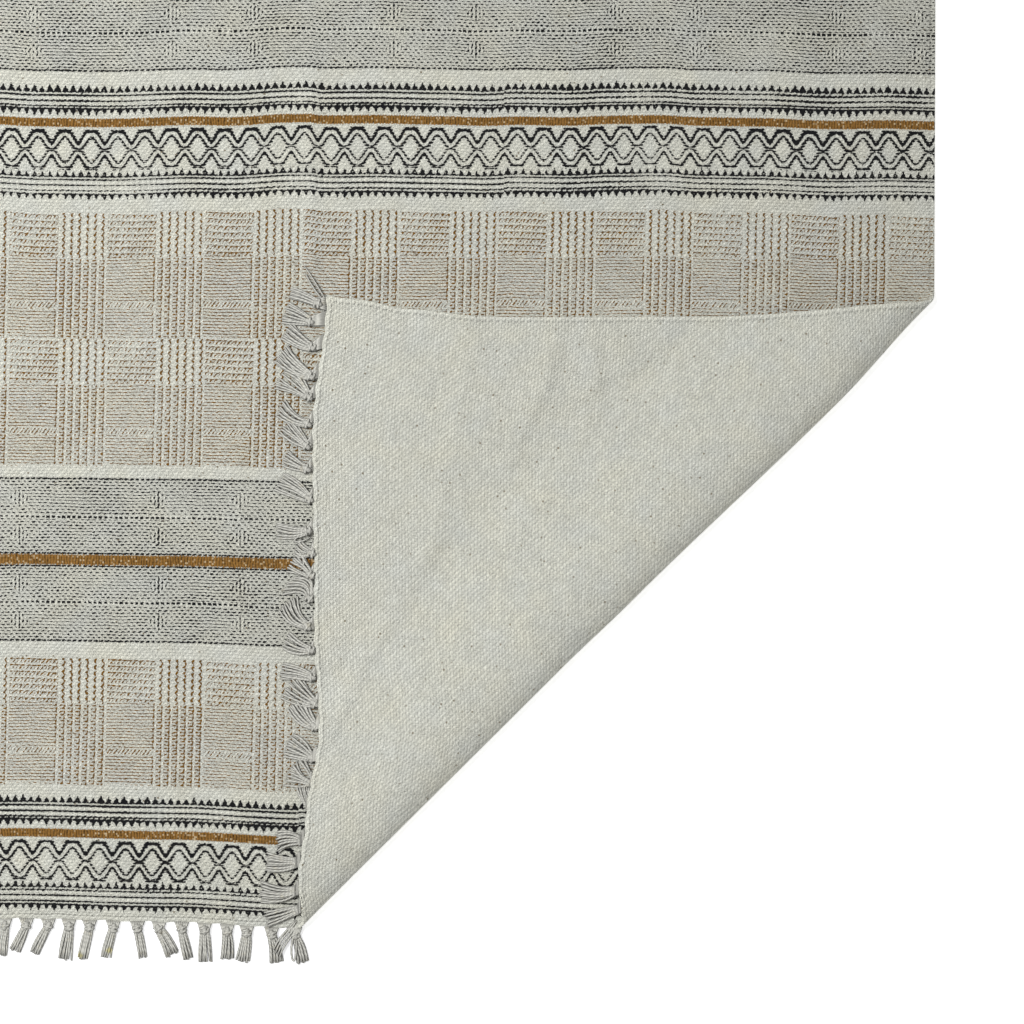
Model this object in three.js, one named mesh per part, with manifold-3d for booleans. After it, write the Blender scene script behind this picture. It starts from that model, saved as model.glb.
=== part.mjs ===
// A hand-woven cotton flatweave rug, nominally 4 by 6 feet, lying flat with its near right corner
// folded back over its printed face, and a knotted fringe along both woven ends.
// Millimetres, +Z up. X runs across the rug and Y along it, from the near end to the far end. The
// origin is on the floor under the middle of the flat rug.
import * as THREE from "three";
import { mergeVertices } from "three/addons/utils/BufferGeometryUtils.js";
import Module from "manifold-3d";

// Driving dimensions of the flat cloth
const RUG_WIDTH = 1220;
const RUG_LENGTH = 1861;
const CLOTH_THICKNESS = 3.6;
const CORNER_BLUNT = 4; // how far the beaten-in corners stop short of a sharp point

// Driving dimensions of the fold. It runs slantwise, so "across" is measured square to it from the
// rug's middle towards the folded corner, and "along" is measured up the fold line.
const FOLD_ANGLE = degrees(45);
const FOLD_OUTER_EDGE = 648;
const TURN_RADIUS = 8; // of the cloth's middle surface, where it turns up from the floor
const TURN = degrees(145);
const SHOULDER_RADIUS = 35; // where it goes on over towards the crest
const SHOULDER_TURN = degrees(27);
const CREST_RADIUS = 120;
const LAYER_GAP = 0.6; // between the folded layer and the cloth that it lies on
const LANDING_SLOPE = degrees(9); // of the upper layer, on its way down from the crest
const LANDING_RADIUS = 200; // where the upper layer levels out again

// How far the fold line bows outwards from straight
const foldBow = [
  { at: -680, by: -1 },
  { at: -315, by: 0 },
  { at: -216, by: 2 },
  { at: 73, by: 7.5 },
  { at: 190, by: 2.5 },
];

// How far the near woven end strays outwards from straight, by its place across the rug
const nearEndStray = [
  { at: -310, by: 0 },
  { at: -155, by: 3.5 },
  { at: -20, by: 10 },
  { at: 30, by: 15 },
  { at: 90, by: 8 },
  { at: 180, by: -4 },
  { at: 280, by: 2 },
  { at: 470, by: 4 },
  { at: 610, by: -7 },
];
const END_STRAY_DEPTH = 750; // how far into the rug the end's waver fades out

// How far the right selvedge strays outwards from straight, by its place along the rug
const rightSideStray = [
  { at: -930, by: 6 },
  { at: -899, by: 3 },
  { at: -848, by: -6 },
  { at: -773, by: -12 },
  { at: -559, by: -7 },
  { at: -453, by: -4 },
  { at: -300, by: -1 },
  { at: 0, by: 0 },
];
const SIDE_STRAY_DEPTH = 300;

// Driving dimensions of the fringe
const TASSEL_PITCH = 22.66;
const FIRST_TASSEL = -591.5;
const TASSEL_COUNT = 53;
const EDGE_GAP = 0.3; // between the cloth's end and the comb
const COLLAR_DEPTH = 7; // of the strip where the warp ends are drawn together
const TASSEL_ROOT = 3.5; // where a tassel starts, inside the collar
const TASSEL_REACH = 38; // from the cloth's end to the tassel's tip
const TASSEL_THICKNESS = 3;
const KNOT_WIDTH = 9;
const TIP_WIDTH = 12;
const DROOP_STEPS = 3; // of a tassel whose root lies higher than its tip
const FLAP_LEAN = 8; // more lean where the fringe lies on the print
const ON_TOP = degrees(115); // heading past which the edge has turned over onto the print

// How far each tassel's tip leans along the edge, over and over
const tasselLeans = [-4, -12, -14, -5, -10, -9, 6, 14, 7, 1, -1, -4, 7];

// Colours and finish of the two yarns' surfaces
const PRINTED_CLOTH = { color: 0xb9b5a7, roughness: 0.95, metalness: 0 };
const WARP_YARN = { color: 0xb4b3aa, roughness: 0.95, metalness: 0 };

function degrees(angle) {
  return THREE.MathUtils.degToRad(angle);
}

// Reads a table of { at, by } rows, easing smoothly from each row to the next
function readTable(rows, at) {
  if (at <= rows[0].at) return rows[0].by;
  for (let i = 1; i < rows.length; i++) {
    const from = rows[i - 1];
    const to = rows[i];
    if (at <= to.at) {
      return THREE.MathUtils.lerp(from.by, to.by, THREE.MathUtils.smoothstep(at, from.at, to.at));
    }
  }
  return rows[rows.length - 1].by;
}

// The fold's section: stretches of the cloth's middle surface, each with its run and its turn
const crestFrom = TURN + SHOULDER_TURN;
const crestTurn = Math.PI + LANDING_SLOPE - crestFrom;
const slopeDrop =
  TURN_RADIUS * (1 - Math.cos(TURN)) +
  SHOULDER_RADIUS * (Math.cos(TURN) - Math.cos(crestFrom)) +
  CREST_RADIUS * (Math.cos(crestFrom) + Math.cos(LANDING_SLOPE)) -
  LANDING_RADIUS * (1 - Math.cos(LANDING_SLOPE)) -
  CLOTH_THICKNESS -
  LAYER_GAP;
const turnRun = TURN_RADIUS * TURN;
const shoulderRun = SHOULDER_RADIUS * SHOULDER_TURN;
const foldSection = [
  { run: turnRun, turn: TURN },
  { run: shoulderRun, turn: SHOULDER_TURN },
  { run: CREST_RADIUS * crestTurn, turn: crestTurn },
  { run: slopeDrop / Math.sin(LANDING_SLOPE), turn: 0 },
  { run: LANDING_RADIUS * LANDING_SLOPE, turn: -LANDING_SLOPE },
];
const foldRun = foldSection.reduce((sum, stretch) => sum + stretch.run, 0);

// Where the middle surface is after a distance past the line at which it leaves the floor
function sectionAt(distance) {
  const spot = { across: Math.min(distance, 0), height: CLOTH_THICKNESS / 2, heading: 0 };
  let left = Math.max(distance, 0);
  for (const { run, turn } of foldSection) {
    const step = Math.min(left, run);
    const swing = (turn * step) / run;
    if (turn === 0) {
      spot.across += step * Math.cos(spot.heading);
      spot.height += step * Math.sin(spot.heading);
    } else {
      const radius = run / turn;
      spot.across += radius * (Math.sin(spot.heading + swing) - Math.sin(spot.heading));
      spot.height += radius * (Math.cos(spot.heading) - Math.cos(spot.heading + swing));
    }
    spot.heading += swing;
    left -= step;
  }
  spot.across += left * Math.cos(spot.heading);
  spot.height += left * Math.sin(spot.heading);
  return spot;
}

const foldStart = FOLD_OUTER_EDGE - TURN_RADIUS - CLOTH_THICKNESS / 2;

function acrossOf(x, y) {
  return x * Math.cos(FOLD_ANGLE) - y * Math.sin(FOLD_ANGLE);
}

// A point of the flat rug, moved by the waver of its near end and its right side
function strayed(x, y) {
  const nearness = THREE.MathUtils.clamp(1 - (y + RUG_LENGTH / 2) / END_STRAY_DEPTH, 0, 1);
  const rightness = THREE.MathUtils.clamp(1 - (RUG_WIDTH / 2 - x) / SIDE_STRAY_DEPTH, 0, 1);
  return {
    x: x + readTable(rightSideStray, y) * rightness,
    y: y - readTable(nearEndStray, x) * nearness,
  };
}

// Where a point of the flat rug ends up once the corner is folded over, with the heading there.
// Its level is measured through the cloth, from the back up to the printed face.
function foldedOver(flatX, flatY, level) {
  const { x, y } = strayed(flatX, flatY);
  const along = x * Math.sin(FOLD_ANGLE) + y * Math.cos(FOLD_ANGLE);
  const start = foldStart + readTable(foldBow, along);
  const spot = sectionAt(acrossOf(x, y) - start);
  const lift = level - CLOTH_THICKNESS / 2;
  const across = start + spot.across - Math.sin(spot.heading) * lift;
  const point = new THREE.Vector3(
    across * Math.cos(FOLD_ANGLE) + along * Math.sin(FOLD_ANGLE),
    along * Math.cos(FOLD_ANGLE) - across * Math.sin(FOLD_ANGLE),
    spot.height + Math.cos(spot.heading) * lift,
  );
  return { point, heading: spot.heading };
}

// The lines of the cloth's lattice run along the fold. They are close together where it rolls, with
// room for the fold's bow and for the waver of the near end.
const halfWidth = RUG_WIDTH / 2;
const halfLength = RUG_LENGTH / 2;
const farLeft = acrossOf(-halfWidth, halfLength);
const farRight = acrossOf(halfWidth, halfLength);
const nearLeft = acrossOf(-halfWidth, -halfLength);
const nearRight = acrossOf(halfWidth, -halfLength);
const bows = foldBow.map((row) => row.by);
const widestStray = Math.max(...nearEndStray.map((row) => row.by)) * Math.sin(FOLD_ANGLE);
const turnFrom = foldStart + Math.min(...bows) - widestStray;
const turnTo = foldStart + Math.max(...bows) + turnRun;
const latticeStretches = [
  { to: farRight, lines: 6 },
  { to: nearLeft, lines: 4 },
  { to: turnFrom, lines: 5 },
  { to: turnTo, lines: 18 },
  { to: turnTo + shoulderRun, lines: 6 },
  { to: foldStart + foldRun, lines: 9 },
  { to: nearRight - CORNER_BLUNT, lines: 12 },
];
const latticeLines = [farLeft + CORNER_BLUNT];
for (const { to, lines } of latticeStretches) {
  const from = latticeLines[latticeLines.length - 1];
  for (let i = 1; i <= lines; i++) latticeLines.push(THREE.MathUtils.lerp(from, to, i / lines));
}
const LATTICE_ROWS = 22;

// The stretch of a lattice line that lies on the rug, measured along the fold
function lineOnRug(across) {
  const sine = Math.sin(FOLD_ANGLE);
  const cosine = Math.cos(FOLD_ANGLE);
  return {
    low: Math.max((-halfWidth - across * cosine) / sine, (-halfLength + across * sine) / cosine),
    high: Math.min((halfWidth - across * cosine) / sine, (halfLength + across * sine) / cosine),
  };
}

// Moves every vertex of a unit box lattice with a function of its three shares, each 0 to 1
function shapedBox(columns, rows, place) {
  const box = new THREE.BoxGeometry(1, 1, 1, columns, rows, 1);
  const position = box.getAttribute("position");
  for (let i = 0; i < position.count; i++) {
    const spot = place(position.getX(i) + 0.5, position.getY(i) + 0.5, position.getZ(i) + 0.5);
    position.setXYZ(i, spot.x, spot.y, spot.z);
  }
  box.computeVertexNormals();
  return box;
}

function foldedCloth() {
  const columns = latticeLines.length - 1;
  return shapedBox(columns, LATTICE_ROWS, (column, row, depth) => {
    const across = latticeLines[Math.round(column * columns)];
    const { low, high } = lineOnRug(across);
    const along = THREE.MathUtils.lerp(low, high, row);
    const x = across * Math.cos(FOLD_ANGLE) + along * Math.sin(FOLD_ANGLE);
    const y = along * Math.cos(FOLD_ANGLE) - across * Math.sin(FOLD_ANGLE);
    return foldedOver(x, y, depth * CLOTH_THICKNESS).point;
  });
}

// The collar of a comb bends where the cloth's own lattice lines meet the near end, so that the
// two keep their gap. side is -1 for the near end and 1 for the far end.
function collar(side) {
  const ends = latticeLines
    .filter((across) => across >= nearLeft)
    .map((across) => (across - halfLength * Math.sin(FOLD_ANGLE)) / Math.cos(FOLD_ANGLE));
  const columns = ends.length - 1;
  return shapedBox(columns, 2, (column, row, depth) => {
    const outward = side < 0 ? 1 - row : row;
    const x = ends[Math.round(column * columns)];
    const y = side * (halfLength + THREE.MathUtils.lerp(EDGE_GAP, COLLAR_DEPTH, outward));
    return foldedOver(x, y, depth * CLOTH_THICKNESS).point;
  });
}

// One tassel: a tongue from inside the collar to its tip, which droops to whatever it lies on
function tassel(x, side, lean) {
  const rootY = side * (halfLength + TASSEL_ROOT);
  const middle = CLOTH_THICKNESS / 2;
  const { point: root, heading } = foldedOver(x, rootY, middle);
  const beside = foldedOver(x + 1, rootY, middle).point.sub(root).normalize();
  const outside = foldedOver(x, rootY + side, middle).point.sub(root);
  const onPrint = heading > ON_TOP;
  const rest = (onPrint ? CLOTH_THICKNESS + LAYER_GAP : 0) + TASSEL_THICKNESS / 2;
  const edge = beside.clone().setZ(0).normalize();
  const way = outside.setZ(0).normalize().multiplyScalar(TASSEL_REACH - TASSEL_ROOT);
  way.addScaledVector(edge, lean);
  const tipSide = new THREE.Vector3(-way.y, way.x, 0).normalize();
  if (tipSide.dot(beside) < 0) tipSide.negate();
  const steps = root.z > rest + CLOTH_THICKNESS ? DROOP_STEPS : 1;
  return shapedBox(1, steps, (column, row, depth) => {
    const outward = side < 0 ? 1 - row : row;
    const settled = THREE.MathUtils.smoothstep(outward, 0, 1);
    const centre = root.clone().addScaledVector(way, outward);
    centre.z = THREE.MathUtils.lerp(root.z, rest, settled);
    const widthWay = beside.clone().lerp(tipSide, settled).normalize();
    const steepness = 6 * outward * (1 - outward);
    const run = way.clone().setZ((rest - root.z) * steepness).normalize();
    const thickWay = new THREE.Vector3().crossVectors(widthWay, run).normalize();
    if (side < 0) thickWay.negate();
    const width = THREE.MathUtils.lerp(KNOT_WIDTH, TIP_WIDTH, outward);
    centre.addScaledVector(widthWay, (column - 0.5) * width);
    return centre.addScaledVector(thickWay, (depth - 0.5) * TASSEL_THICKNESS);
  });
}

// A closed mesh as a solid, and a solid as a geometry again
const wasm = await Module();
wasm.setup();

function solidOf(geometry) {
  const bare = geometry.clone();
  bare.deleteAttribute("normal");
  bare.deleteAttribute("uv");
  const merged = mergeVertices(bare, 1e-3);
  const vertProperties = merged.getAttribute("position").array;
  const triVerts = new Uint32Array(merged.index.array);
  return new wasm.Manifold(new wasm.Mesh({ numProp: 3, vertProperties, triVerts }));
}

function geometryOf(solid) {
  const { vertProperties, triVerts } = solid.getMesh();
  const geometry = new THREE.BufferGeometry();
  geometry.setAttribute("position", new THREE.BufferAttribute(vertProperties, 3));
  geometry.setIndex(new THREE.BufferAttribute(triVerts, 1));
  geometry.computeVertexNormals();
  return geometry;
}

function fringeComb(side) {
  let comb = solidOf(collar(side));
  for (let i = 0; i < TASSEL_COUNT; i++) {
    const x = FIRST_TASSEL + i * TASSEL_PITCH;
    const turnedOver = foldedOver(x, side * halfLength, 0).heading > ON_TOP;
    const lean = tasselLeans[(i + 1) % tasselLeans.length] + (turnedOver ? FLAP_LEAN : 0);
    comb = comb.add(solidOf(tassel(x, side, lean)));
  }
  return geometryOf(comb);
}

function named(name, geometry, finish) {
  const mesh = new THREE.Mesh(geometry, new THREE.MeshStandardMaterial(finish));
  mesh.name = name;
  return mesh;
}

const rug = new THREE.Group();
rug.add(named("rug_cloth", foldedCloth(), PRINTED_CLOTH));
rug.add(named("fringe_near", fringeComb(-1), WARP_YARN));
rug.add(named("fringe_far", fringeComb(1), WARP_YARN));

export default rug;
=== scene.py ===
"""Finishes a hand-woven cotton flatweave rug: woven cloth with a corner folded over, prints and fringes.

Shapes are worked out in millimetres, in the rug's own frame: x across the rug, y along it towards the far
end, z up from the floor. They are scaled to metres when each piece is made.
"""
import math
import random

import bmesh
import bpy
from mathutils import Matrix, Vector, noise


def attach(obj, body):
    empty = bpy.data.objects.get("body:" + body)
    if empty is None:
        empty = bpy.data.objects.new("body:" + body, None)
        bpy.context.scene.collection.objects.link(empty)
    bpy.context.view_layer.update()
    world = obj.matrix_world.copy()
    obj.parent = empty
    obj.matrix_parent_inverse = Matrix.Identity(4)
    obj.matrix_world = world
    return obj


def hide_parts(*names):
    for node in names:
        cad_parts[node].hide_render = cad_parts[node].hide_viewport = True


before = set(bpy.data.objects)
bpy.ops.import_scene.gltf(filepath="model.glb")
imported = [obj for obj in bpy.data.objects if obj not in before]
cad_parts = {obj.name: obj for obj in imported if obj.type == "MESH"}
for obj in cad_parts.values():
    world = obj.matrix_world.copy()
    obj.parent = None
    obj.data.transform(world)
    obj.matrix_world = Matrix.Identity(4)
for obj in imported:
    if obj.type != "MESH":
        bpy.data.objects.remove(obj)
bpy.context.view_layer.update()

MM = 0.001
RUG_WIDTH = 1220
RUG_LENGTH = 1861
HALF_WIDTH = RUG_WIDTH / 2
HALF_LENGTH = RUG_LENGTH / 2
CLOTH_THICKNESS = 3.6

# The fold, as the solid of the cloth has it
TURN_RADIUS, TURN = 8, math.radians(145)
SHOULDER_RADIUS, SHOULDER_TURN = 35, math.radians(27)
CREST_RADIUS = 120
LAYER_GAP = 0.6
LANDING_SLOPE = math.radians(9)
LANDING_RADIUS = 200
FOLD_START = 648 - TURN_RADIUS - CLOTH_THICKNESS / 2
FOLD_BOW = [(-680, -1), (-315, 0), (-216, 2), (73, 7.5), (190, 2.5)]
END_STRAY = [(-310, 0), (-155, 3.5), (-20, 10), (30, 15), (90, 8), (180, -4), (280, 2), (470, 4), (610, -7)]
SIDE_STRAY = [(-930, 6), (-899, 3), (-848, -6), (-773, -12), (-559, -7), (-453, -4), (-300, -1), (0, 0)]
HALF_TURN = math.sqrt(0.5)

# Creases in the folded corner: height, width of the steep right side, and the points that each passes,
# downwards. The left side of a crease is wider.
LEFT_SIDE_TIMES = 3.2
CREASES = [
    (1.7, 5, [(112, -559), (60, -645), (2, -752)]),
    (0.9, 5.5, [(155, -332), (145, -372), (125, -492), (112, -559)]),
    (1.5, 4.6, [(240, -332), (222, -395), (188, -472)]),
    (1.4, 6.5, [(268, -345), (272, -428), (235, -487), (195, -545)]),
    (1.1, 8, [(340, -352), (296, -384)]),
    (0.8, 9, [(100, -690), (92, -735)]),
]

# How the wefts of the middle of the rug waver, in millimetres towards the near end
WEFT_WAVER = [
    (-325, 0), (-289, 1.9), (-215, 2.8), (-129, 0.4), (-97, 1.2), (-33, -2.1), (-17, -2.1), (-3, -0.6),
    (47, -1.1), (110, 0.1), (159, 1.4), (191, 0.5), (240, 1.2), (290, -0.5), (335, -1), (375, 1.2), (430, 2),
    (510, 4.8), (560, 4.2), (610, 5.4),
]

# The weave: one pick is a row of weft, and a crown is where the weft shows over every second warp.
# A crown is an oval, slanted by 30 degrees.
PICK = 3.1
CROWN_PITCH = 5.7
CROWN_HALF_LENGTH = 2.45
CROWN_HALF_WIDTH = 1.4
SLANT_ALONG, SLANT_ASIDE = 0.87, 0.5

# Bands, measured from the near end up to the middle of the rug, and mirrored in the far half
NEAR_BORDER_TOP = 124.5
FAR_BORDER_TOP = 835.5
DASH_BAND_MIDDLE = 359.6
BAND_EDGES = [129.5, 269.3, 446.5, 714, 842.5]
BAND_ORDER = ["border", "check", "dashes", "check", "border", "dashes"]

# Each half of the rug has each print twice. These distances from the end lie between its two bands.
BETWEEN_BORDERS, BETWEEN_CHECKS, BETWEEN_DASHES = 500, 400, 600

# Where the two check bands begin and end, by the distance from the end
SINGLE_CHECK = (134.5, 261.5)
DOUBLE_CHECK = (453.5, 707.5)

# The print blocks' sizes, and the pitch of what each repeats
BORDER_BLOCK = 186
CHAIN_PITCH = BORDER_BLOCK / 7
CHAIN_AXIS = 64.6
TOOTH_PITCH = 7.75
DASH_BLOCK = 221
DASH_JOINT = 139
BEAD_PITCH = 5.2
CHECK_BLOCK = 97.6
CHECK_TIER = 127
STRAND_PITCH = 7.85
WARP_PITCH = 2.85

# The tassels: evenly spaced along an end, each knot a little off the edge
TASSEL_PITCH = 22.66
FIRST_TASSEL = -591.5
TASSEL_COUNT = 53
HIDDEN_TASSELS = 12
KNOT_OFF_EDGE = 6.4
KNOT_HEIGHT = 3.7
KNOT_THICKNESS = 6.4

# The cloth's grid, which is finer where the corner folds
COARSE_COLUMNS, FINE_COLUMNS, FINE_FROM = 40, 150, -30
COARSE_ROWS, FINE_ROWS, FINE_TO = 75, 86, -560
TURN_CUTS, SHOULDER_CUTS = 20, 5
RIM_RADIUS = 1.45
BAKE_GAP = 20

# The camera's view in metres: its middle, and how wide and high it is where it meets the floor
VIEW_MIDDLE = (0.187, -0.524)
VIEW_SIZE = 1.024
SENSOR_SIZE = 36
LENS = 100


def colour(red, green, blue):
    """A colour from its screen values of 0 to 255, with alpha."""

    def linear(value):
        value = value / 255
        return value / 12.92 if value <= 0.04045 else ((value + 0.055) / 1.055) ** 2.4

    return (linear(red), linear(green), linear(blue), 1.0)


# Inks, cotton and stains

BLACK_INK = colour(15, 16, 19)
TAN_INK = colour(106, 74, 20)
MUSTARD = colour(140, 102, 50)
BARE_YARN = colour(208, 188, 152)
SPECK = colour(122, 112, 92)
WARM_COTTON, COOL_COTTON = colour(211, 209, 193), colour(204, 206, 200)
WHITE_YARN, CREAM_YARN = colour(224, 223, 214), colour(222, 217, 199)
YELLOW_STAIN = colour(214, 200, 96)


def ease(at, start, end):
    """0 before start, 1 after end, and smooth between them."""
    share = min(max((at - start) / (end - start), 0), 1)
    return share * share * (3 - 2 * share)


def reading(table, at):
    """The table's value at a place, eased from one row to the next."""
    if at <= table[0][0]:
        return table[0][1]
    for (start, low), (end, high) in zip(table, table[1:]):
        if at <= end:
            return low + (high - low) * ease(at, start, end)
    return table[-1][1]


# The lie of the cloth

CREST_FROM = TURN + SHOULDER_TURN
CREST_TURN = math.pi + LANDING_SLOPE - CREST_FROM
SLOPE_DROP = (
    TURN_RADIUS * (1 - math.cos(TURN))
    + SHOULDER_RADIUS * (math.cos(TURN) - math.cos(CREST_FROM))
    + CREST_RADIUS * (math.cos(CREST_FROM) + math.cos(LANDING_SLOPE))
    - LANDING_RADIUS * (1 - math.cos(LANDING_SLOPE))
    - CLOTH_THICKNESS
    - LAYER_GAP
)
# Each stretch of the fold's section is a length and how far it turns
FOLD_SECTION = [
    (TURN_RADIUS * TURN, TURN),
    (SHOULDER_RADIUS * SHOULDER_TURN, SHOULDER_TURN),
    (CREST_RADIUS * CREST_TURN, CREST_TURN),
    (SLOPE_DROP / math.sin(LANDING_SLOPE), 0),
    (LANDING_RADIUS * LANDING_SLOPE, -LANDING_SLOPE),
]


def section_at(distance):
    """The cloth's middle surface, a distance past the fold's start: how far across, how high, which way."""
    across, height, heading, left = min(distance, 0), CLOTH_THICKNESS / 2, 0, max(distance, 0)
    for run, turn in FOLD_SECTION:
        step = min(left, run)
        if turn:
            radius, swing = run / turn, turn * step / run
            across += radius * (math.sin(heading + swing) - math.sin(heading))
            height += radius * (math.cos(heading) - math.cos(heading + swing))
            heading += swing
        else:
            across += step * math.cos(heading)
            height += step * math.sin(heading)
        left -= step
    return across + left * math.cos(heading), height + left * math.sin(heading), heading


def off_segment(x, y, start, end):
    """How far a point is from a straight segment, and whether it lies on the segment's right.

    The right is the photo's right where the segment runs downwards.
    """
    run = Vector(end) - Vector(start)
    to_point = Vector((x, y)) - Vector(start)
    share = min(max(to_point.dot(run) / run.length_squared, 0), 1)
    return (to_point - run * share).length, run.x * to_point.y - run.y * to_point.x > 0


def lift(x, y):
    """How far the cloth stands off the floor in its shallow ripples and creases."""
    swell = 0.55 * (1 + noise.noise(Vector((x / 210, y / 210, 3.1))))
    ripple = 0.16 * (1 + noise.noise(Vector((x / 90, y / 90, 7.7))))
    ridge = 1.7 * math.exp(-(((x + 13) / 7) ** 2)) * ease(y, -330, -290) * (1 - ease(y, -120, 20))
    creases = 0
    for height, width, path in CREASES:
        off, on_right = min(off_segment(x, y, start, end) for start, end in zip(path, path[1:]))
        creases += height * math.exp(-((off / (width if on_right else LEFT_SIDE_TIMES * width)) ** 2))
    return swell + ripple + ridge + creases


def laid(x, y, level):
    """Where a point of the flat cloth lies on the floor, level millimetres above the cloth's underside."""
    nearness = min(max(1 - (y + HALF_LENGTH) / 750, 0), 1)
    rightness = min(max(1 - (HALF_WIDTH - x) / 300, 0), 1)
    x, y = x + reading(SIDE_STRAY, y) * rightness, y - reading(END_STRAY, x) * nearness
    across, along = (x - y) * HALF_TURN, (x + y) * HALF_TURN
    start = FOLD_START + reading(FOLD_BOW, along)
    run, height, heading = section_at(across - start)
    rise = level - CLOTH_THICKNESS / 2
    across = start + run - math.sin(heading) * rise
    height += math.cos(heading) * rise
    x, y = (across + along) * HALF_TURN, (along - across) * HALF_TURN
    return Vector((x, y, height + lift(x, y)))


# Meshes and pieces


def finished_piece(name, mesh, materials, node):
    """Makes a mesh in millimetres into a piece in metres, which stands for a node of the solid model."""
    mesh.transform(Matrix.Scale(MM, 4))
    for material in materials:
        mesh.materials.append(material)
    mesh.shade_smooth()
    piece = bpy.data.objects.new(name, mesh)
    bpy.context.scene.collection.objects.link(piece)
    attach(piece, "root")
    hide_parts(node)
    return piece


# Numbers in shaders


def reckon(operation, *values, clamp=False):
    """One Math node on numbers that are sockets or constants."""
    tree = next(value.tree for value in values if isinstance(value, Number))
    node = tree.nodes.new("ShaderNodeMath")
    node.operation = operation
    node.use_clamp = clamp
    for socket, value in zip(node.inputs, values):
        feed(socket, value)
    return Number(tree, node.outputs[0])


def feed(socket, value):
    """Links a number to a socket, or sets a constant on it."""
    if isinstance(value, Number):
        value.tree.links.new(value.socket, socket)
    else:
        socket.default_value = value


class Number:
    """A number, colour or vector that changes over the surface, kept as the socket that gives it."""

    def __init__(self, tree, socket):
        self.tree = tree
        self.socket = socket

    def __add__(self, other):
        return reckon("ADD", self, other)

    def __radd__(self, other):
        return reckon("ADD", other, self)

    def __sub__(self, other):
        return reckon("SUBTRACT", self, other)

    def __rsub__(self, other):
        return reckon("SUBTRACT", other, self)

    def __mul__(self, other):
        return reckon("MULTIPLY", self, other)

    def __rmul__(self, other):
        return reckon("MULTIPLY", other, self)

    def __truediv__(self, other):
        return reckon("DIVIDE", self, other)

    def __abs__(self):
        return reckon("ABSOLUTE", self)

    def floor(self):
        return reckon("FLOOR", self)

    def fraction(self):
        return reckon("FRACT", self)

    def over(self, level):
        """1 where the number is over the level, and 0 elsewhere."""
        return reckon("GREATER_THAN", self, level)

    def share(self):
        """The number kept between 0 and 1."""
        return reckon("ADD", self, 0, clamp=True)


def least(first, *others):
    for other in others:
        first = reckon("MINIMUM", first, other)
    return first


def most(first, *others):
    for other in others:
        first = reckon("MAXIMUM", first, other)
    return first


def new_node(tree, kind, **settings):
    """A node with its settings and its inputs, by name; an input's name has underlines for its spaces."""
    node = tree.nodes.new(kind)
    for name, value in settings.items():
        label = name.replace("_", " ")
        if label in node.inputs:
            feed(node.inputs[label], value)
        else:
            setattr(node, name, value)
    return node


def spot(first, second):
    """A vector of two numbers."""
    node = new_node(first.tree, "ShaderNodeCombineXYZ", X=first, Y=second)
    return Number(first.tree, node.outputs[0])


def cloudy(first, second, size, detail=0):
    """Smooth noise of 0 to 1 with patches of about the size, as a number and as a colour."""
    node = new_node(
        first.tree,
        "ShaderNodeTexNoise",
        noise_dimensions="2D",
        Vector=spot(first, second),
        Scale=1 / size,
        Detail=detail,
    )
    return Number(first.tree, node.outputs[0]), Number(first.tree, node.outputs[1])


def parts_of(vector):
    """A vector's or colour's three numbers."""
    node = new_node(vector.tree, "ShaderNodeSeparateXYZ", Vector=vector)
    return [Number(vector.tree, socket) for socket in node.outputs]


def chance(first, second):
    """A random number of 0 to 1 for each pair of whole numbers."""
    node = new_node(first.tree, "ShaderNodeTexWhiteNoise", noise_dimensions="2D", Vector=spot(first, second))
    return Number(first.tree, node.outputs["Value"])


def blended(share, first, second, tree):
    """A mix of two colours, which a Mix node takes at its inputs 6 and 7 and gives at its output 2."""
    node = tree.nodes.new("ShaderNodeMix")
    node.data_type = "RGBA"
    feed(node.inputs[0], share)
    feed(node.inputs[6], first)
    feed(node.inputs[7], second)
    return Number(tree, node.outputs[2])


def shaded(tone, brightness):
    """A colour made lighter or darker."""
    tree = brightness.tree
    node = tree.nodes.new("ShaderNodeVectorMath")
    node.operation = "SCALE"
    feed(node.inputs[0], tone if isinstance(tone, Number) else tone[:3])
    feed(node.inputs["Scale"], brightness)
    return Number(tree, node.outputs[0])


def effect(name, inputs, outputs, recipe):
    """A shader node group: recipe takes its inputs as numbers and gives its outputs in order."""
    tree = bpy.data.node_groups.new(name, "ShaderNodeTree")
    for label, kind in inputs:
        tree.interface.new_socket(name=label, in_out="INPUT", socket_type="NodeSocket" + kind)
    for label, kind in outputs:
        tree.interface.new_socket(name=label, in_out="OUTPUT", socket_type="NodeSocket" + kind)
    start = tree.nodes.new("NodeGroupInput")
    end = tree.nodes.new("NodeGroupOutput")
    results = recipe(*[Number(tree, start.outputs[label]) for label, _ in inputs])
    for (label, _), result in zip(outputs, results):
        tree.links.new(result.socket, end.inputs[label])
    return tree


def place(group, *values):
    """Places a node group in the tree that its values are in, and gives its outputs."""
    tree = next(value.tree for value in values if isinstance(value, Number))
    node = tree.nodes.new("ShaderNodeGroup")
    node.node_tree = group
    for socket, value in zip(node.inputs, values):
        feed(socket, value)
    return [Number(tree, socket) for socket in node.outputs]


# The weave and the ink


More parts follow.
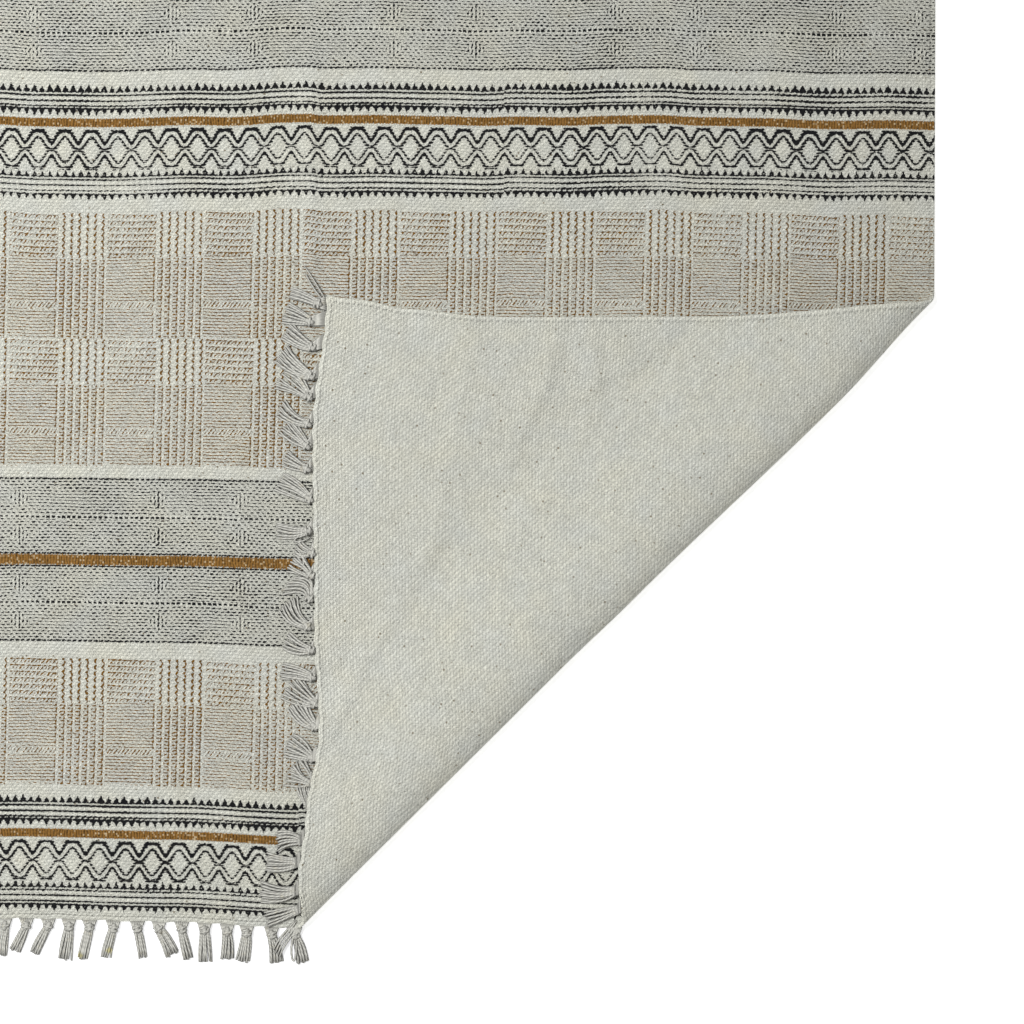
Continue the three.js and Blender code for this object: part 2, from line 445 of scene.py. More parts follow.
def weave_recipe(across, along):
    """Plain weave: slanted crowns of weft set like bricks, and lower crowns of warp between them.

    The yarns drift over some centimetres and shake from crown to crown. Gives the crowns' height, a chance
    for each brick, and how far a place is from the middle of its pick.
    """
    drift_across, drift_along, _ = parts_of(cloudy(across, along, 26, 1)[1])
    shake_across, shake_along, _ = parts_of(cloudy(across, along, 3)[1])
    row = (along + 2 * drift_along + shake_along) / PICK
    pick = row.floor()
    up = (row - pick - 0.5) * PICK
    column = (across + 3 * drift_across + 1.8 * shake_across) / CROWN_PITCH + 0.5 * pick
    brick = column.floor()
    side = (column - brick - 0.5) * CROWN_PITCH
    luck = chance(brick, pick)
    lengthways = (SLANT_ALONG * side + SLANT_ASIDE * up) / CROWN_HALF_LENGTH
    sideways = (SLANT_ALONG * up - SLANT_ASIDE * side) / CROWN_HALF_WIDTH
    weft = reckon("SQRT", most(1 - lengthways * lengthways - sideways * sideways, 0))
    past = (CROWN_PITCH / 2 - abs(side)) / 1.3
    warp = reckon("SQRT", most(1 - past * past - up * up / 2.4, 0))
    return most(weft * (0.9 + 0.14 * luck), 0.5 * warp), luck, abs(up)


def yarn_recipe(across, along, height, luck):
    """Off-white cotton: painted shade between the crowns and in a groove inside the edge, mottled, specked,
    and paler in its cords at the edges.
    """
    tree = across.tree
    patches, tints = cloudy(across, along, 42, 2)
    edge = least(HALF_WIDTH - abs(across), along, RUG_LENGTH - along)
    rim = (1.7 - edge / 2.8).share()
    # Painted shade: a dark line in the groove inside the edge, darker on low yarn
    groove_shade = (1 - abs(edge - 5.2) / 1.6).share() * (1.2 - height)
    fuzz, _ = cloudy(across, along, 0.9, 1)
    # Painted shade: darker between the crowns and lighter on their tops, with random tone per crown and fibre
    # fuzz
    crown_shade_and_tone = 0.53 + 0.4 * height + 0.12 * luck + 1.6 * (fuzz - 0.41)
    tone = crown_shade_and_tone * (0.96 + 0.08 * patches) + 0.12 * rim - 0.26 * groove_shade
    tint_amount = parts_of(tints)[1]
    base = blended(tint_amount, WARM_COTTON, COOL_COTTON, tree)
    fibre = shaded(base, tone)
    spot_luck = chance((across / 1.8).floor(), (along / 1.6).floor())
    speck = ((spot_luck - 0.9945) * 200).share()
    return [blended(speck, fibre, SPECK, tree)]


def ink_recipe(cloth, ink, inside, height, luck, rough, grain):
    """Ink pressed on cloth: inside is millimetres in from the print's outline, and high crowns take more."""
    tree = inside.tree
    reach = inside + grain * (height - 0.5) + 1.3 * (rough - 0.5)
    cover = (0.5 + 2.2 * reach).share() * (0.985 + 0.015 * luck)
    pressed = shaded(ink, 0.75 + 0.5 * luck)
    return [blended(cover, cloth, pressed, tree)]


def stripe_recipe(cloth, across, along, inside, height, rough):
    """A mustard stripe, ribbed along its warps, with painted shade between its ribs and on its lower crowns,
    rubbed paler on some crowns, with flecks of bare yarn.
    """
    tree = inside.tree
    sway, _ = cloudy(across, along, 14)
    warp = (across + 3 * sway) / WARP_PITCH
    rib = 2 * lines(warp, 1, 1)
    luck = chance(warp.floor(), (along / 5).floor())
    reach = inside + 0.7 * (height - 0.5) + 1.3 * (rough - 0.5) + 0.6 * (rib - 0.5)
    cover = (0.5 + 1.6 * reach).share()
    # Painted shade: darker between the ribs and on lower crowns; the luck and rough terms are random tone
    tone = 0.02 + 0.22 * height + 0.7 * rib + 0.3 * luck + 0.75 * (rough - 0.3)
    dyed = shaded(MUSTARD, tone)
    bare = chance((across / 1.5).floor(), (along / 1.8).floor())
    worn = blended(((bare - 0.87) * 9).share() * 0.75, dyed, BARE_YARN, tree)
    return [blended(cover, cloth, worn, tree)]


def line(value, centre, width):
    return width / 2 - abs(value - centre)


def lines(value, pitch, width):
    """Lines at every whole number of pitches."""
    return width / 2 - abs((value / pitch + 0.5).fraction() - 0.5) * pitch


def within(value, low, high):
    return least(value - low, high - value)


def from_near_end(along):
    """The distance from the nearer end."""
    return HALF_LENGTH - abs(along - HALF_LENGTH)


def wear_of(across, along, amount):
    """How much of the print's reach is rubbed away or pressed in, in patches."""
    broad, _ = cloudy(across, along, 75, 1)
    close, _ = cloudy(across, along, 9, 1)
    return amount * (1 - 1.5 * broad) + amount * (0.35 - close)


def border_print(across, along, off_row):
    """The black border: rows of teeth, rules and a chain of white ribbons. Gives its ink and its stripe."""
    from_end = from_near_end(along)
    is_inner = from_end.over(BETWEEN_BORDERS)
    down = NEAR_BORDER_TOP + (FAR_BORDER_TOP - NEAR_BORDER_TOP) * is_inner - from_end
    place_across = across + 7 + 19 * (1 - is_inner)
    block = (place_across / BORDER_BLOCK).floor()
    local = place_across - BORDER_BLOCK * block
    luck = chance(block, is_inner)
    stripe = line(down, 37.8, 8.6)
    shake = cloudy(across, along, 3.2)[0] - 0.5
    down = down + 2.2 * (luck - 0.5)

    def teeth(base, way, half_width, height):
        rise = (base - down) * way
        place = local / TOOTH_PITCH + 0.16 * shake
        tooth_luck = chance(place.floor() + 40 * block, is_inner + base)
        off = abs(place.fraction() - 0.5) * TOOTH_PITCH
        size = 0.82 + 0.32 * tooth_luck
        hollow = (1.4 - abs(rise - 2) - off).share() * tooth_luck.over(0.55)
        return least(rise + 0.6, (size - rise / height) * half_width - off) - 1.9 * hollow

    rules = most(
        line(down, 10, 1.9),
        line(down, 15.6, 1.7),
        line(down, 20.9, 1.5),
        line(down, 23.7, 1.8),
        line(down, 91.3, 1),
        line(down, 94.4, 1.3),
        line(down, 99.8, 1.4),
        line(down, 105.3, 1.3),
        line(down, 108.6, 1.5),
    )
    rows = most(
        teeth(6.5, 1, 3.7, 6.4),
        teeth(23.6, -1, 3.4, 6.3),
        teeth(91.4, 1, 2.9, 6),
        teeth(108.5, -1, 3.3, 6),
    )
    angle = local * (2 * math.pi / CHAIN_PITCH)
    wave = reckon("COSINE", angle)
    slope = reckon("SINE", angle)
    off_peak = abs((local / CHAIN_PITCH).fraction() - 0.5) * CHAIN_PITCH
    near_half = down.over(CHAIN_AXIS)
    from_axis = abs(down - CHAIN_AXIS)
    stretch = reckon("SQRT", 1 + 2.35 * slope * slope)
    outward = (from_axis - 9.2 + 6.2 * wave - 1.2 * slope * slope) / stretch
    valley = most(wave, 0)
    thick = 2.7 + 0.5 * slope * slope + 1.8 * valley * valley - 0.9 * near_half - 1.1 * (off_row - 0.8)
    outer = least(outward - 1.7, 1.7 + thick - outward)
    cap = least(line(from_axis, 18.8, 2.6 - 3.4 * near_half), 6.6 - off_peak)
    inner = least(-1 * outward - 1.7, 4 - 0.6 * near_half - 1.1 * (off_row - 0.8) + outward)
    chain = least(most(outer, inner, cap), 20.1 - from_axis)
    return most(rules, rows, chain) + wear_of(across, along, 0.75), stripe


def dashes_print(across, along, off_row, height, crown_luck):
    """Rows of short dashes, nested into long rectangles, on each side of a mustard stripe.

    The dashes are bold near the rows of beads, and in patches fine where the rectangles nest.
    """
    from_end = from_near_end(along)
    is_middle = from_end.over(BETWEEN_DASHES)
    off = abs(from_end - DASH_BAND_MIDDLE - (HALF_LENGTH - DASH_BAND_MIDDLE) * is_middle)
    place_across = across + 305 - 14 * is_middle
    block = (place_across / DASH_BLOCK).floor()
    local = place_across - DASH_BLOCK * block
    later = local.over(DASH_JOINT)
    to_joint = least(local, abs(local - DASH_JOINT), DASH_BLOCK - local)
    luck = chance(2 * block + later, is_middle)
    down = off - 42.9 + 1.3 * (luck - 0.5)
    deep = 8.9 - abs(abs(down) - 18.4)
    nest = 0.8 * to_joint
    by_joint = (deep - nest).over(0)
    level = down + 0.5 * (cloudy(across, along, 16)[0] - 0.5)
    bead_luck = chance((across / BEAD_PITCH + 0.5).floor(), is_middle)
    beads = least(line(level, 0, 2.1), lines(across + 0.8 * bead_luck, BEAD_PITCH, 3.1))
    beads = beads - 1.4 * (height - 0.55) + 0.5 * (bead_luck - 0.6)
    closing = least(line(off, 80.7, 1.7), lines(across, BEAD_PITCH, 4))
    hugging = least(line(off, 6.3, 2), lines(across, BEAD_PITCH, 4.2))
    bold = 0.12 + 0.3 * (crown_luck - 0.5) - off_row
    fine = 0.58 - 2.2 * off_row
    fineness = (deep / 3).share() * ((cloudy(across, along, 45)[0] - 0.42) * 6).share()
    plain = bold + (fine - bold) * fineness - 5 * ((2.2 - abs(level)) / 1.2).share()
    rows = most(plain, beads, closing, hugging)
    joints = lines(nest, 3.1, 1.4) - 0.4 + 1.9 * (1 - to_joint / 1.5).share() * (luck - 0.45)
    band = most(rows - 4 * by_joint, joints - 4 * (1 - by_joint))
    return least(band + wear_of(across, along, 0.45), within(off, 5.4, 81.8)), 5.15 - off


def check_print(across, along, off_row):
    """Tan blocks of ruled squares beside knotted strands, each block turned a little."""
    from_end = from_near_end(along)
    is_double = from_end.over(BETWEEN_CHECKS)
    drop = SINGLE_CHECK[1] + (DOUBLE_CHECK[1] - SINGLE_CHECK[1]) * is_double - from_end
    tier = (drop / CHECK_TIER).floor()
    down = drop - CHECK_TIER * tier
    place_across = across + 314 + 0.028 * down
    block = (place_across / CHECK_BLOCK).floor()
    luck = chance(block, tier + 2 * is_double)
    right = place_across - CHECK_BLOCK * block + 1.2 * (luck - 0.5)
    down = down - 0.03 * right + 1.4 * (luck - 0.5)
    ticks = lines(right + 0.7 * down, 3.6, 1.1)
    upper_rows = most(
        lines(down - 1.5, 6.45, 1.05),
        least(ticks, within((down / 6.45 - 0.235).fraction() * 6.45, 0.6, 3.6)),
    )
    square = most(
        least(upper_rows, within(down, 0, 43)),
        least(2.2 * (0.36 - off_row), most(within(down, 43.5, 88), within(down, 96, 124.5))),
        least(ticks, within(down, 89.5, 94.5)),
        least(line(right, 47.7, 1.2), most(within(down, 44, 88), within(down, 96, 124.5))),
    )
    square = least(square, within(right, 0.2, 48.4))
    strand = ((right - 50.4) / STRAND_PITCH).fraction() * STRAND_PITCH
    sway = abs((down / 6.4).fraction() - 0.5)
    knots = least(line(strand + 3.6 * sway, 4.8, 2.4) + 1.8 * sway - 0.75, 43 - down)
    combs = most(line(strand, 5.2, 1.25), least(0.42 - off_row, within(strand, 0.9, 5.2)))
    combs = least(combs, within(down, 44, 125))
    strands = least(most(knots, combs), within(right, 50.4, 97.4))
    printed = most(within(from_end, *SINGLE_CHECK), within(from_end, *DOUBLE_CHECK))
    worn = wear_of(across, along, 0.36) + 0.2 * (luck - 0.5) - 0.15
    return least(most(square, strands) + worn, printed)


def cloth_material(name, design=None):
    """Woven cotton, with the design that its band is printed with."""
    material = bpy.data.materials.new(name)
    material.use_nodes = True
    tree = material.node_tree
    flat = tree.nodes.new("ShaderNodeUVMap")
    flat.uv_map = "flat"
    across, along, _ = parts_of(Number(tree, flat.outputs[0]))
    height, luck, off_row = place(WEAVE, across, along)
    (tone,) = place(YARN, across, along, height, luck)
    rough, _ = cloudy(across, along, 1.7, 1)
    if design == "border":
        ink, stripe = border_print(across, along, off_row)
        (tone,) = place(INK, tone, BLACK_INK, ink, height, luck, rough, 1.1)
        (tone,) = place(STRIPE, tone, across, along, stripe, height, rough)
    elif design == "dashes":
        ink, stripe = dashes_print(across, along, off_row, height, luck)
        (tone,) = place(INK, tone, BLACK_INK, ink, height, luck, rough, 1.9)
        (tone,) = place(STRIPE, tone, across, along, stripe, height, rough)
    elif design == "check":
        ink = check_print(across, along, off_row)
        (tone,) = place(INK, tone, TAN_INK, ink, height, luck, rough, 1.4)
    shader = tree.nodes["Principled BSDF"]
    feed(shader.inputs["Base Color"], tone)
    feed(shader.inputs["Roughness"], 0.95 - 0.12 * height)
    shader.inputs["Specular IOR Level"].default_value = 0.12
    shader.inputs["Sheen Weight"].default_value = 0.04
    shader.inputs["Sheen Roughness"].default_value = 0.6
    bump = new_node(tree, "ShaderNodeBump", Strength=0.48, Distance=1.1 * MM, Height=height)
    tree.links.new(bump.outputs[0], shader.inputs["Normal"])
    return material


WEAVE = effect(
    "weave",
    [("Across", "Float"), ("Along", "Float")],
    [("Height", "Float"), ("Luck", "Float"), ("Off row", "Float")],
    weave_recipe,
)
YARN = effect(
    "cotton",
    [("Across", "Float"), ("Along", "Float"), ("Height", "Float"), ("Luck", "Float")],
    [("Colour", "Color")],
    yarn_recipe,
)
INK = effect(
    "ink",
    [
        ("Cloth", "Color"), ("Ink", "Color"), ("Inside", "Float"), ("Height", "Float"), ("Luck", "Float"),
        ("Rough", "Float"), ("Grain", "Float"),
    ],
    [("Colour", "Color")],
    ink_recipe,
)
STRIPE = effect(
    "mustard stripe",
    [
        ("Cloth", "Color"), ("Across", "Float"), ("Along", "Float"), ("Inside", "Float"), ("Height", "Float"),
        ("Rough", "Float"),
    ],
    [("Colour", "Color")],
    stripe_recipe,
)
PLAIN_CLOTH = cloth_material("plain cloth")
PRINTED = {
    "border": cloth_material("black border print", "border"),
    "check": cloth_material("tan check print", "check"),
    "dashes": cloth_material("dash band print", "dashes"),
}


# Where the tips of two tassels have yellowed
YELLOWED_TIPS = [(-245, -967), (-215, -962)]


def fringe_material():
    """Plied cotton warp yarn, with painted shade in the grooves between its plies and on the sides and
    undersides of its strands, and yellowed in places.
    """
    material = bpy.data.materials.new("fringe yarn")
    material.use_nodes = True
    tree = material.node_tree
    strand = tree.nodes.new("ShaderNodeUVMap")
    strand.uv_map = "strand"
    length, turn, _ = parts_of(Number(tree, strand.outputs[0]))
    ply = abs((9 * length + 2 * turn).fraction() - 0.5) * 2
    where = new_node(tree, "ShaderNodeTexCoord")
    scaled = new_node(tree, "ShaderNodeMapping", vector_type="POINT")
    scaled.inputs["Scale"].default_value = (1 / MM, 1 / MM, 1 / MM)
    tree.links.new(where.outputs["Object"], scaled.inputs["Vector"])
    x, y, _ = parts_of(Number(tree, scaled.outputs[0]))
    patches, tints = cloudy(x, y, 7, 1)
    warm = ((parts_of(tints)[1] - 0.6) * 3).share()
    base = blended(warm, WHITE_YARN, CREAM_YARN, tree)
    for at_x, at_y in YELLOWED_TIPS:
        stain = (1.6 - (abs(x - at_x) + abs(y - at_y)) / 3.5).share() * 0.6
        base = blended(stain, base, YELLOW_STAIN, tree)
    # Painted shade: darker in the ply grooves and on strand sides and undersides, by how far the surface
    # faces up; the patches are random tone
    _, _, facing = parts_of(Number(tree, where.outputs["Normal"]))
    brightness = (0.6 + 0.4 * ply) * (0.93 + 0.24 * patches) * (0.02 + 0.98 * facing.share())
    tone = shaded(base, brightness)
    shader = tree.nodes["Principled BSDF"]
    feed(shader.inputs["Base Color"], tone)
    feed(shader.inputs["Roughness"], 0.96 - 0.1 * ply)
    shader.inputs["Specular IOR Level"].default_value = 0.2
    shader.inputs["Sheen Weight"].default_value = 0.15
    bump = new_node(tree, "ShaderNodeBump", Strength=0.6, Distance=0.4 * MM, Height=ply)
    tree.links.new(bump.outputs[0], shader.inputs["Normal"])
    return material


FRINGE_YARN = fringe_material()


# The cloth


def band_of(from_end):
    """The design of the band at a distance from the nearer end."""
    return BAND_ORDER[sum(from_end > edge for edge in BAND_EDGES)]


def spread(at, half, first_share, split):
    """Moves an even place on a side of the grid, so that the parts up to and past split differ in pitch."""
    share = at / (2 * half) + 0.5
    if share < first_share:
        return -half + (split + half) * share / first_share
    return split + (half - split) * (share - first_share) / (1 - first_share)


def flat_slab():
    """The flat cloth with a rounded rim, its grid cut along the bands' edges and across the fold."""
    cloth = bmesh.new()
    bmesh.ops.create_grid(
        cloth,
        x_segments=COARSE_COLUMNS + FINE_COLUMNS,
        y_segments=FINE_ROWS + COARSE_ROWS,
        size=0.5,
        matrix=Matrix.Diagonal((RUG_WIDTH, RUG_LENGTH, 1, 1)),
    )
    coarse_share = COARSE_COLUMNS / (COARSE_COLUMNS + FINE_COLUMNS)
    fine_share = FINE_ROWS / (FINE_ROWS + COARSE_ROWS)
    for vert in cloth.verts:
        vert.co.x = spread(vert.co.x, HALF_WIDTH, coarse_share, FINE_FROM)
        vert.co.y = spread(vert.co.y, HALF_LENGTH, fine_share, FINE_TO)

    def cut(point, normal):
        bmesh.ops.bisect_plane(
            cloth,
            geom=[*cloth.verts, *cloth.edges, *cloth.faces],
            dist=0.4,
            plane_co=point,
            plane_no=normal,
        )

    for edge in BAND_EDGES:
        cut((0, edge - HALF_LENGTH, 0), (0, 1, 0))
        cut((0, HALF_LENGTH - edge, 0), (0, 1, 0))
    turn_from, turn_to = FOLD_START - 4, FOLD_START + FOLD_SECTION[0][0] + 8
    shoulder_run = FOLD_SECTION[1][0]
    places = [turn_from + (turn_to - turn_from) * step / TURN_CUTS for step in range(TURN_CUTS + 1)]
    places += [turn_to + shoulder_run * (step + 1) / SHOULDER_CUTS for step in range(SHOULDER_CUTS)]
    for across in places:
        cut((across * HALF_TURN, -across * HALF_TURN, 0), (HALF_TURN, -HALF_TURN, 0))
    bmesh.ops.recalc_face_normals(cloth, faces=cloth.faces)
    if cloth.faces[:][0].normal.z < 0:
        bmesh.ops.reverse_faces(cloth, faces=cloth.faces)
    bmesh.ops.solidify(cloth, geom=cloth.faces[:], thickness=CLOTH_THICKNESS)
    low = min(vert.co.z for vert in cloth.verts)
    bmesh.ops.translate(cloth, verts=cloth.verts, vec=(0, 0, -low))
    bmesh.ops.recalc_face_normals(cloth, faces=cloth.faces)
    rim = [edge for edge in cloth.edges if edge.is_manifold and edge.calc_face_angle() > 1]
    bmesh.ops.bevel(
        cloth,
        geom=rim,
        offset=RIM_RADIUS,
        offset_type="OFFSET",
        segments=3,
        profile=0.5,
        affect="EDGES",
        material=-1,
    )
    bmesh.ops.triangulate(cloth, faces=cloth.faces)
    return cloth


def mark_places(cloth):
    """Gives each face its band's material, and the places that its pattern and its baked picture go by."""
    flat = cloth.loops.layers.uv.new("flat")
    bake = cloth.loops.layers.uv.new("OFBake")
    names = list(PRINTED)
    # The baked picture is square, with the face and the back side by side, a gap apart
    picture_size = 2 * (RUG_WIDTH + BAKE_GAP)
    for face in cloth.faces:
        middle = face.calc_center_median()
        facing = face.normal.z
        if facing > 0.5:
            from_end = HALF_LENGTH - abs(middle.y)
            face.material_index = 1 + names.index(band_of(from_end))
        is_back = facing < -0.5
        for loop in face.loops:
            x, y, z = loop.vert.co
            loop[flat].uv = (x, y + HALF_LENGTH)
            out = 0 if is_back else CLOTH_THICKNESS - z
            x += out * (1 if x > HALF_WIDTH - 2 else -1 if x < 2 - HALF_WIDTH else 0)
            y += out * (1 if y > HALF_LENGTH - 2 else -1 if y < 2 - HALF_LENGTH else 0)
            u = (x if not is_back else -x + RUG_WIDTH + BAKE_GAP) + HALF_WIDTH + BAKE_GAP / 2
            loop[bake].uv = (u / picture_size, (y + HALF_LENGTH + BAKE_GAP / 2) / picture_size)


def lay_down(cloth):
    """Draws the ends in between tassels, lets the wefts waver, and lays and folds the cloth."""
    for vert in cloth.verts:
        x, y, z = vert.co
        middle_share = ease(y, -450, -230) * (1 - ease(y, 0, 400))
        arch = 0.5 - 0.5 * math.cos(2 * math.pi * (x - FIRST_TASSEL) / TASSEL_PITCH)
        near_share = max(1 - (y + HALF_LENGTH) / 14, 0)
        far_share = max(1 - (HALF_LENGTH - y) / 14, 0)
        y += 1.5 * arch * (near_share - far_share) - reading(WEFT_WAVER, x) * middle_share
        vert.co = laid(x, y, z)


def woven_cloth():
    """The folded cloth."""
    cloth = flat_slab()
    mark_places(cloth)
    lay_down(cloth)
    mesh = bpy.data.meshes.new("woven_cloth")
    cloth.to_mesh(mesh)
    cloth.free()
    return finished_piece(
        "woven_cloth", mesh, [PLAIN_CLOTH, *PRINTED.values()], "rug_cloth"
    )


# The fringes

# Tassels of the near end that lie on the floor: the flat place across, how far the tips lean to the right,
# and their reach
NEAR_TASSELS = [
    (-319.6, -3.7, 30.5), (-298, -12, 26.5), (-276.2, -14.1, 28), (-255.6, -4.8, 34), (-235, -7.8, 33),
    (-211.2, -8.8, 30.5), (-187.3, 5.8, 30), (-165.6, 14.1, 26.5), (-143, 7, 31), (-120.1, 1.1, 32.6),
    (-97.3, -0.5, 28), (-77.8, -4.4, 29.5), (-53, 4.6, 28.5), (-29, 8, 29),
]

# Loose yarns at the fold and on the print: how high each lies, and the points that it passes
LOOSE_YARNS = [
    (5, [(-29, -931), (-33, -936), (-40, -944), (-48, -953), (-51, -961)]),
    (6, [(-28, -932), (-32, -938), (-39, -946), (-46, -955), (-49, -964)]),
    (6, [(-27, -934), (-30, -940), (-37, -948), (-44, -957), (-47, -966)]),
    (5, [(-25, -935), (-29, -942), (-35, -950), (-42, -959), (-45, -968)]),
    (5, [(-29, -940), (-33, -952), (-34, -966), (-31, -976), (-28, -967), (-28, -952)]),
    (3, [(1, -312), (-5, -303), (-11, -291), (-20, -279)]),
    (3, [(-1, -313), (-8, -306), (-15, -295), (-19, -286)]),
    (3, [(-17, -541), (-25, -548), (-31, -551), (-30, -555), (-20, -553), (-14, -549)]),
    (3, [(-12, -589), (-19, -583), (-24, -575), (-20, -566)]),
]

# Tassels of the folded end, from the tip of the corner down: place along the flat end, the knot's x and y,
# the way the tips point in degrees (0 to the left, 90 to the far end), their reach, fan and number of strands
FLAP_TASSELS = [
    (603, -7, -316, 22, 30, 10, 5),
    (588, -15, -334, 20, 27, 30, 6),
    (565, -13, -360, 34, 31, 20, 6),
    (535, -14, -389, 38, 39, 18, 7),
    (515, -16, -409, 40, 35, 40, 6),
    (488, -17, -436, 32, 33, 20, 5),
    (466, -18, -458, 44, 30, 26, 6),
    (443, -18, -481, 28, 25, 24, 5),
    (413, -15, -511, 30, 36, 22, 6),
    (382, -17, -543, 3, 31, 16, 5),
    (360, -13, -565, 24, 17, 30, 5),
    (338, -14, -587, 40, 24, 44, 6),
    (315, -15, -610, 46, 26, 60, 6),
    (287, -17, -638, 50, 32, 26, 6),
    (263, -14, -662, 22, 28, 24, 5),
    (237, -13, -689, 12, 31, 14, 6),
    (210, -10, -715, 36, 33, 36, 7),
    (188, -10, -738, 54, 31, 26, 7),
    (156, -13, -769, 26, 28, 34, 6),
    (131, -13, -794, 34, 26, 60, 6),
    (108, -16, -817, 78, 22, 24, 5),
    (73, -23, -852, -3, 25, 30, 6),
    (51, -28, -874, 0, 30, 18, 7),
    (23, -28, -902, 0, 36, 20, 7),
    (5, -25, -920, -19, 36, 12, 6),
]


class Fringe:
    """Lengths of yarn gathered as one curve, which becomes one mesh."""

    def __init__(self, name):
        self.curve = bpy.data.curves.new(name, "CURVE")
        self.curve.dimensions = "3D"
        self.curve.bevel_depth = 1
        self.curve.bevel_resolution = 1
        self.curve.use_fill_caps = True

    def yarn(self, points, thickness, ends=(0.9, 0.75)):
        """One length through the points, a little thinner at its ends."""
        spline = self.curve.splines.new("NURBS")
        spline.points.add(len(points) - 1)
        spline.order_u = 4
        spline.resolution_u = 2
        spline.use_endpoint_u = True
        for number, (point, at) in enumerate(zip(points, spline.points)):
            at.co = (*point, 1)
            share = {0: ends[0], len(points) - 1: ends[1]}.get(number, 1)
            at.radius = thickness / 2 * share

    def mesh(self, name):
        holder = bpy.data.objects.new(name, self.curve)
        mesh = bpy.data.meshes.new_from_object(holder)
        bpy.data.objects.remove(holder)
        merged = bmesh.new()
        merged.from_mesh(mesh)
        bmesh.ops.remove_doubles(merged, verts=merged.verts, dist=0.01)
        bmesh.ops.recalc_face_normals(merged, faces=merged.faces)
        merged.to_mesh(mesh)
        merged.free()
        mesh.uv_layers[0].name = "strand"
        return mesh


def tassel(fringe, root, along_edge, knot, heading, reach, fan, strands, dice, ground):
    """Warp ends gathered from the edge at root into a knot, and lying past it on the ground in two layers."""
    out = Vector((math.cos(heading), math.sin(heading), 0))
    side = Vector((-out.y, out.x, 0))
    centre = Vector((knot.x, knot.y, ground(knot.x, knot.y) + KNOT_HEIGHT))
    inward = (centre - root).normalized()
    edge_way = along_edge if along_edge.dot(side) > 0 else -along_edge
    bend = dice.uniform(-0.006, 0.006) * fan * reach
    places = [(number / (strands - 1) - 0.5, 0) for number in range(strands)]
    places += [((number + 0.5) / (strands - 1) - 0.5, 1) for number in range(strands - 1)]
    for share, layer in places:
        turn = math.radians(fan) * share + dice.uniform(-0.03, 0.03)
        swing = out * math.cos(turn) + side * math.sin(turn)
        length = reach * dice.uniform(0.95, 1.02)
        own_bend = bend + dice.uniform(-0.002, 0.002) * fan * length
        points = [
            root - inward * 1.5 + edge_way * (13 * share),
            root.lerp(centre, 0.5) + edge_way * (10 * share),
        ]
        for step in (0, 0.25, 0.5, 0.78, 1):
            width = strands * (1.2 + 0.35 * ease(step, 0, 0.3))
            at = centre + side * (share * width) + swing * (length * step)
            at += side * (own_bend * math.sin(math.pi * step) + dice.uniform(-0.5, 0.5))
            fall = ease(step, 0, 0.4)
            floor = ground(at.x, at.y) + 1.25 + layer * (1.7 if step < 1 else 1.2)
            at.z = centre.z * (1 - fall) + floor * fall
            points.append(at)
        fringe.yarn(points, dice.uniform(2.4, 3))
    body = [centre - out * 5, centre - out * 2.5, centre, centre + out * 2.5, centre + out * 5]
    fringe.yarn(body, KNOT_THICKNESS, ends=(0.6, 0.6))
    phase = dice.uniform(0, 2 * math.pi)
    wrap = []
    wrap_steps = 12
    for step in range(wrap_steps + 1):
        share = step / wrap_steps
        angle = phase + 3 * math.pi * share
        ring = side * (4.6 * math.cos(angle)) + Vector((0, 0, 2.2 * math.sin(angle)))
        wrap.append(centre + out * (6 * share - 3) + ring)
    fringe.yarn(wrap, 3, ends=(0.6, 0.6))


def on_floor(x, y):
    """How high the floor is, for yarn that lies on it."""
    return 0


def on_print(x, y):
    """How high the cloth's face is, for yarn that lies on it."""
    return CLOTH_THICKNESS + lift(x, y)


def near_fringe():
    """The near end's fringe: on the floor up to the fold, and on the print past it."""
    dice = random.Random(5)
    fringe = Fringe("near_fringe")
    hidden = []
    for number in range(HIDDEN_TASSELS):
        lean = dice.uniform(-13, 13)
        hidden.append((FIRST_TASSEL + TASSEL_PITCH * number, lean, dice.uniform(27, 35)))
    for across, lean, reach in hidden + NEAR_TASSELS:
        root = laid(across, -HALF_LENGTH, CLOTH_THICKNESS / 2)
        knot = root + Vector((0, -KNOT_OFF_EDGE, 0))
        heading = math.atan2(-reach, lean)
        length = 0.94 * math.hypot(reach, lean) + 1.6
        fan = dice.uniform(2, 10)
        strands = dice.choice((4, 5, 5))
        tassel(fringe, root, Vector((1, 0, 0)), knot, heading, length, fan, strands, dice, on_floor)
    for across, knot_x, knot_y, way, reach, fan, strands in FLAP_TASSELS:
        root = laid(across, -HALF_LENGTH, CLOTH_THICKNESS / 2)
        knot = Vector((knot_x, knot_y, 0))
        heading = math.pi - math.radians(way)
        tassel(fringe, root, Vector((0, -1, 0)), knot, heading, reach, fan, strands - 1, dice, on_print)
    for level, path in LOOSE_YARNS:
        ground = on_floor if path[0][1] < -925 else on_print
        fringe.yarn([Vector((x, y, ground(x, y) + level)) for x, y in path], 2.3 if level > 4 else 1.8)
    mesh = fringe.mesh("near_fringe")
    return finished_piece("near_fringe", mesh, [FRINGE_YARN], "fringe_near")


def far_fringe():
    """The far end's fringe, flat on the floor."""
    dice = random.Random(11)
    fringe = Fringe("far_fringe")
    for number in range(TASSEL_COUNT):
        across = FIRST_TASSEL + TASSEL_PITCH * number
        root = laid(across, HALF_LENGTH, CLOTH_THICKNESS / 2)
        knot = root + Vector((0, KNOT_OFF_EDGE, 0))
        lean = dice.uniform(-11, 11)
        reach = dice.uniform(26, 33)
        heading = math.atan2(reach, lean)
        length = math.hypot(reach, lean) - 2
        fan = dice.uniform(2, 10)
        strands = dice.choice((5, 6))
        tassel(fringe, root, Vector((1, 0, 0)), knot, heading, length, fan, strands, dice, on_floor)
    mesh = fringe.mesh("far_fringe")
    return finished_piece("far_fringe", mesh, [FRINGE_YARN], "fringe_far")


cloth = woven_cloth()
near = near_fringe()
far = far_fringe()


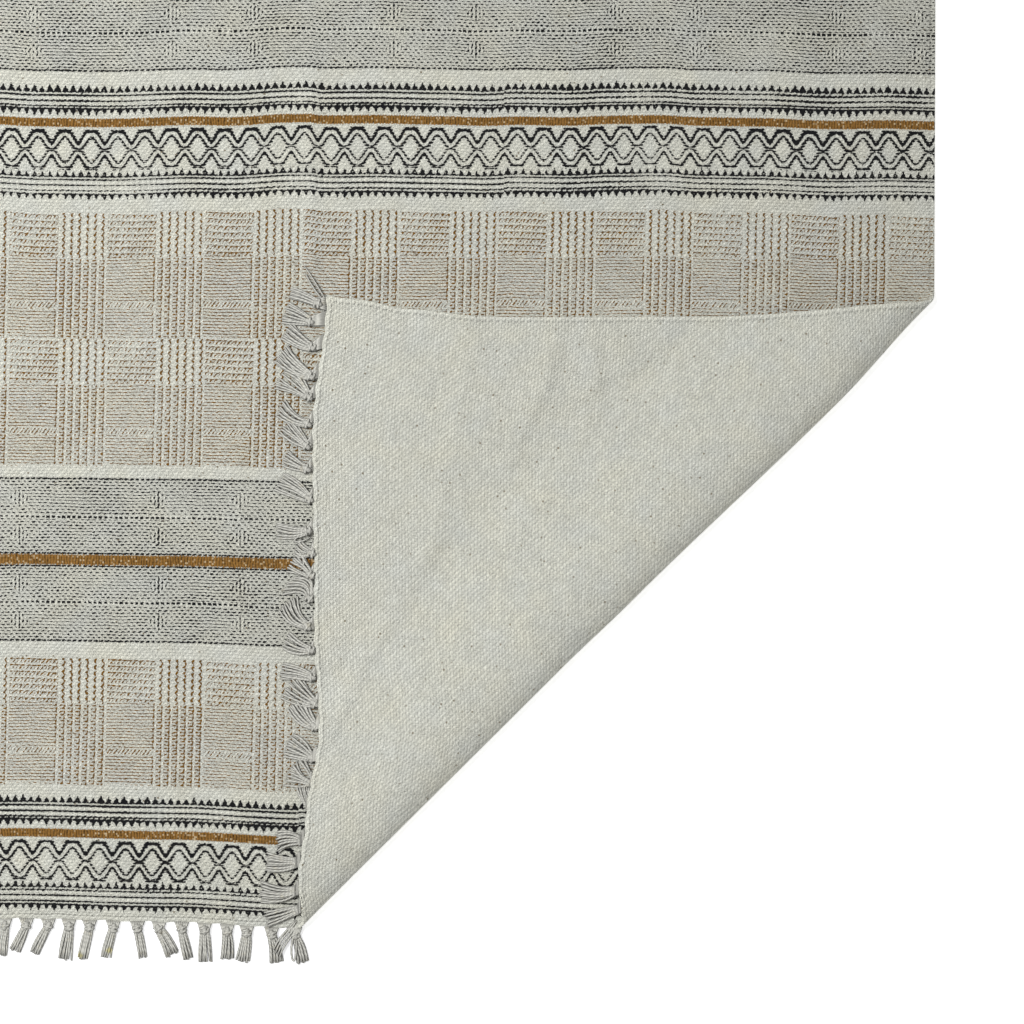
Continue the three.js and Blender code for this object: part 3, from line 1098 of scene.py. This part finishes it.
# The floor, the light and the camera


def plain_floor():
    """A pale floor, a hair below the cloth's underside so that the two don't share a surface."""
    material = bpy.data.materials.new("pale floor")
    material.use_nodes = True
    shader = material.node_tree.nodes["Principled BSDF"]
    shader.inputs["Base Color"].default_value = (0.93, 0.93, 0.93, 1)
    shader.inputs["Roughness"].default_value = 0.9
    shader.inputs["Emission Color"].default_value = (1, 1, 1, 1)
    shader.inputs["Emission Strength"].default_value = 0.6
    plane = bmesh.new()
    bmesh.ops.create_grid(plane, x_segments=1, y_segments=1, size=20)
    bmesh.ops.translate(plane, verts=plane.verts, vec=(0, 0, -0.0003))
    mesh = bpy.data.meshes.new("floor")
    plane.to_mesh(mesh)
    plane.free()
    mesh.materials.append(material)
    floor = bpy.data.objects.new("floor", mesh)
    bpy.context.scene.collection.objects.link(floor)


def soft_light(name, place_at, target, size, power):
    """A square soft light at one point, aimed at another."""
    data = bpy.data.lights.new(name, "AREA")
    data.size = size
    data.energy = power
    lamp = bpy.data.objects.new(name, data)
    lamp.location = place_at
    lamp.rotation_euler = (Vector(target) - Vector(place_at)).to_track_quat("-Z", "Y").to_euler()
    bpy.context.scene.collection.objects.link(lamp)


def photo_camera():
    """Straight above the corner that is folded."""
    data = bpy.data.cameras.new("camera")
    data.sensor_width = SENSOR_SIZE
    data.lens = LENS
    camera = bpy.data.objects.new("camera", data)
    camera.location = (*VIEW_MIDDLE, VIEW_SIZE * LENS / SENSOR_SIZE)
    bpy.context.scene.collection.objects.link(camera)
    bpy.context.scene.camera = camera


def light_all_around(strength):
    """Even white light from every side, of the strength given."""
    world = bpy.data.worlds.new("studio")
    world.use_nodes = True
    background = world.node_tree.nodes["Background"]
    background.inputs["Color"].default_value = (1, 1, 1, 1)
    background.inputs["Strength"].default_value = strength
    bpy.context.scene.world = world


plain_floor()
soft_light("main softbox", (-1.4, 0.1, 2.5), (-0.1, -0.6, 0), 1.4, 74)
light_all_around(0.33)
bpy.context.scene.view_settings.view_transform = "Standard"
photo_camera()
